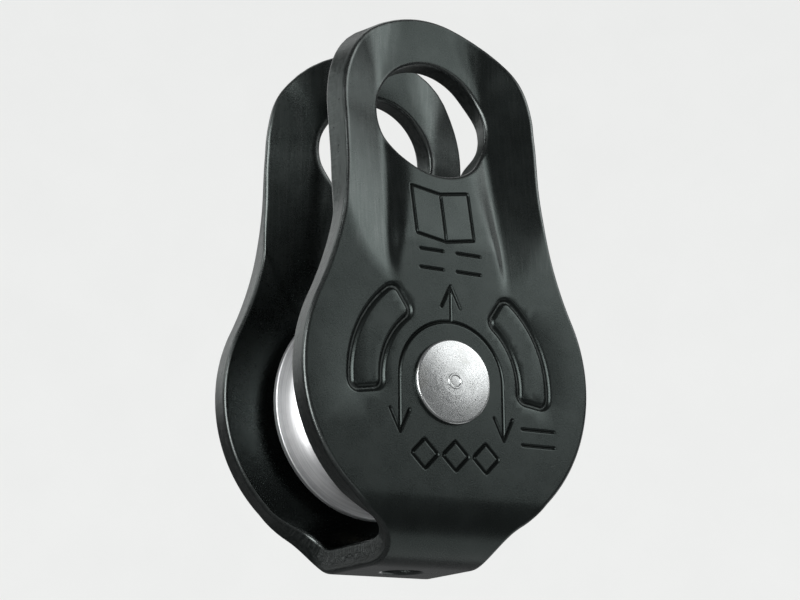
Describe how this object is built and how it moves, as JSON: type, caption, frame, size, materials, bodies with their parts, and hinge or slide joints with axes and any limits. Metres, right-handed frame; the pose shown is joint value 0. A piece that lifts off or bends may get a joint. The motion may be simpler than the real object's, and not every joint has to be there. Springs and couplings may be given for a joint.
{
  "type": "single sheave block",
  "caption": "Compact rope pulley: one sheave turning between fixed side plates bent from a single sheet, with a pressed connector eye at the top.",
  "frame": {"origin": "centre of the connector eye, midway between the two cheeks", "axes": "+Z from the axle towards the eye's top, +Y along the axle from the front cheek to the rear cheek, +X across the plates, to the right seen from the front"},
  "size_m": [0.0442, 0.0296, 0.0778],
  "materials": {
    "anodised_plate": "black anodised, satin",
    "plated_steel": "zinc plated, matte",
    "ground_steel": "ground",
    "washer_steel": "stamped and deburred",
    "turned_aluminium": "turned, bare",
    "sintered_bronze": "sintered, oil filled"
  },
  "bodies": {
    "plates": {"side_plate": "anodised_plate", "axle_rivet": "plated_steel", "spacer_sleeve": "ground_steel", "thrust_washer_front": "washer_steel", "thrust_washer_rear": "washer_steel"},
    "wheel": {"sheave": "turned_aluminium", "bush_front": "sintered_bronze", "bush_rear": "sintered_bronze"}
  },
  "joints": [
    {"name": "sheave_spin", "type": "hinge", "parent": "plates", "child": "wheel", "pos_m": [0, 0, -0.0383], "axis": [0, 1, 0], "continuous": true}
  ]
}
